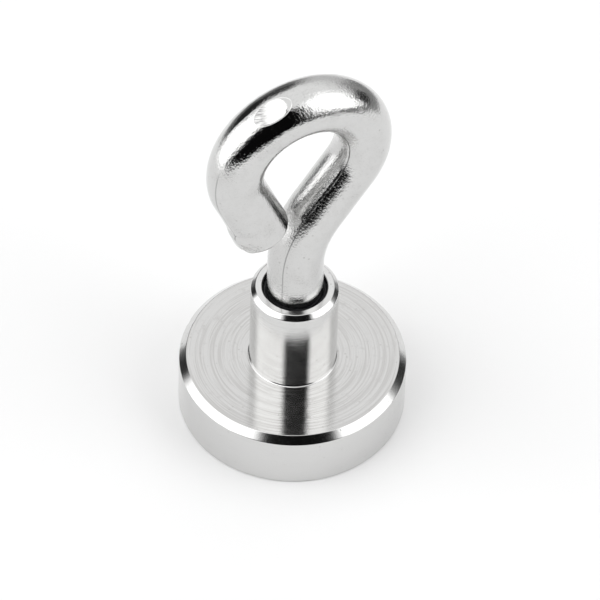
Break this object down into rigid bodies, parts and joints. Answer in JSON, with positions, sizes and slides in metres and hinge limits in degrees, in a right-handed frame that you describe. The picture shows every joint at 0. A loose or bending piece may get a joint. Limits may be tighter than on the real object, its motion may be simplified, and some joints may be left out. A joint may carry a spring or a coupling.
{
  "type": "magnet fishing magnet",
  "caption": "Small round magnet fishing magnet: a steel pot with a rare-earth disc, a threaded bush and a bent-rod eye that unscrews.",
  "frame": {"origin": "centre of the magnetic face, which the magnet stands on", "axes": "+Z from the magnetic face up the threaded bush to the eye; the eye is bent in the XZ plane and its neck leans towards +X; its hole runs along Y"},
  "size_m": [0.016, 0.016, 0.0321],
  "materials": {
    "plated_pot": "bright nickel plate over turned steel, satin top face",
    "plated_bush": "bright nickel plate over turned steel",
    "magnet_plating": "nickel-plated neodymium, lightly rubbed",
    "glue": "cured epoxy film",
    "potting_resin": "cast black epoxy",
    "thread_lock": "cured anaerobic compound",
    "plated_rod": "bright nickel plate over drawn and bent wire"
  },
  "bodies": {
    "magnet_base": {"pot_shell": "plated_pot", "threaded_bush": "plated_bush", "magnet_disc": "magnet_plating", "magnet_glue": "glue", "resin_ring": "potting_resin"},
    "thread_lock": {"thread_lock_ring": "thread_lock"},
    "eye": {"screw_eye": "plated_rod"}
  },
  "joints": [
    {"name": "eye_lift", "type": "slide", "parent": "magnet_base", "child": "thread_lock", "axis": [0, 0, 1], "range_m": [0, 0.0056]},
    {"name": "eye_turn", "type": "hinge", "parent": "thread_lock", "child": "eye", "pos_m": [0, 0, 0.0118], "axis": [0, 0, 1], "range_deg": [0, 2880]}
  ],
  "couplings": [
    {"joint": "eye_turn", "follows": "eye_lift", "rad_per_m": 8976}
  ]
}
